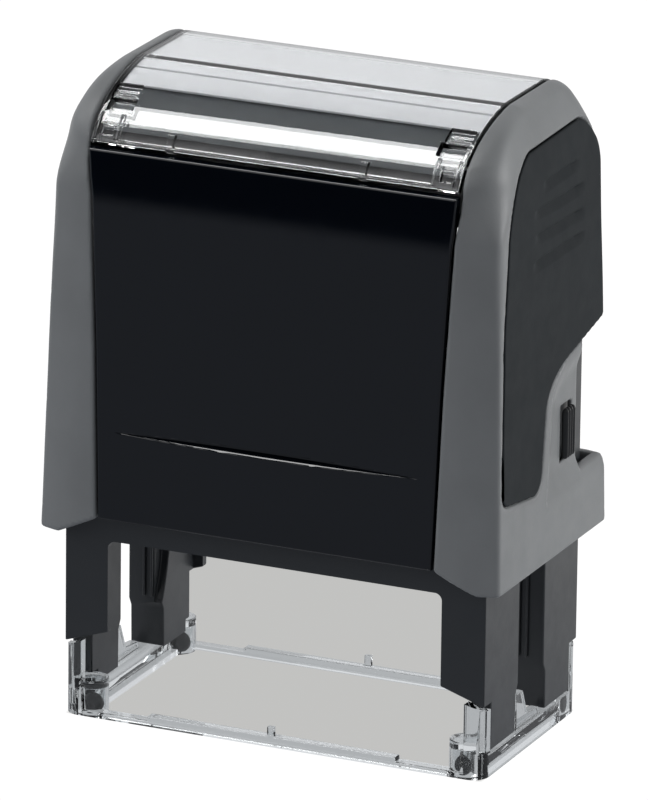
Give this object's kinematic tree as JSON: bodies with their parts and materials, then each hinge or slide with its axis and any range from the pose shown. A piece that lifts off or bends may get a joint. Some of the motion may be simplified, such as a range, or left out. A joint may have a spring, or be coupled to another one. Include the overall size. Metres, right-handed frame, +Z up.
{
  "type": "self inking stamp",
  "caption": "Spring loaded self inking stamp: a pressed handle turns a text plate from its ink pad down onto the paper, on a clear sighting base.",
  "frame": {"origin": "centre of the base's footprint, on the surface it stands on", "axes": "+X to the right as the glossy front is seen, -Y towards the front, +Z up along the handle's travel"},
  "size_m": [0.0654, 0.0384, 0.0867],
  "materials": {
    "black": "satin black moulded plastic",
    "gloss": "high gloss black plastic",
    "grey": "fine grained mid grey plastic",
    "grip": "soft dark grey grip plastic",
    "button": "satin black ribbed plastic",
    "clear": "clear moulded plastic",
    "card": "plain pale grey card",
    "rubber": "dark rubber",
    "plate": "red brown engraved rubber",
    "foam": "pale foam",
    "ink": "ink soaked felt",
    "steel": "drawn spring wire"
  },
  "bodies": {
    "frame": {"inner_frame": "black", "clear_base": "clear", "rubber_foot_front_left": "rubber", "rubber_foot_front_right": "rubber", "rubber_foot_rear_left": "rubber", "rubber_foot_rear_right": "rubber", "return_spring": "steel"},
    "handle": {"press_yoke": "black", "front_panel": "gloss", "rear_panel": "gloss", "cheek_left": "grey", "cheek_right": "grey", "grip_insert_left": "grip", "grip_insert_right": "grip", "index_window": "clear", "index_card": "card", "index_tray": "black"},
    "die": {"die_carrier": "black", "die_cushion": "foam", "text_plate": "plate"},
    "cartridge": {"ink_cartridge": "black", "ink_pad": "ink"},
    "lock_left": {"lock_button_left": "button"},
    "lock_right": {"lock_button_right": "button"}
  },
  "joints": [
    {"name": "handle_press", "type": "slide", "parent": "frame", "child": "handle", "axis": [0, 0, -1], "range_m": [0, 0.02], "stiffness_N_per_m": 250, "springref_m": -0.015, "deforming": ["return_spring"]},
    {"name": "die_flip", "type": "hinge", "parent": "handle", "child": "die", "pos_m": [0, 0, 0.0309], "axis": [-1, 0, 0], "range_deg": [0, 180]},
    {"name": "lock_press_left", "type": "slide", "parent": "handle", "child": "lock_left", "axis": [1, 0, 0], "range_m": [0, 0.0008], "stiffness_N_per_m": 300, "springref_m": -0.001},
    {"name": "lock_press_right", "type": "slide", "parent": "handle", "child": "lock_right", "axis": [-1, 0, 0], "range_m": [0, 0.0008], "stiffness_N_per_m": 300, "springref_m": -0.001},
    {"name": "cartridge_slide", "type": "slide", "parent": "frame", "child": "cartridge", "axis": [0, 1, 0], "range_m": [0, 0.03]}
  ],
  "couplings": [
    {"joint": "die_flip", "follows": "handle_press", "rad_per_m": 157.08}
  ]
}
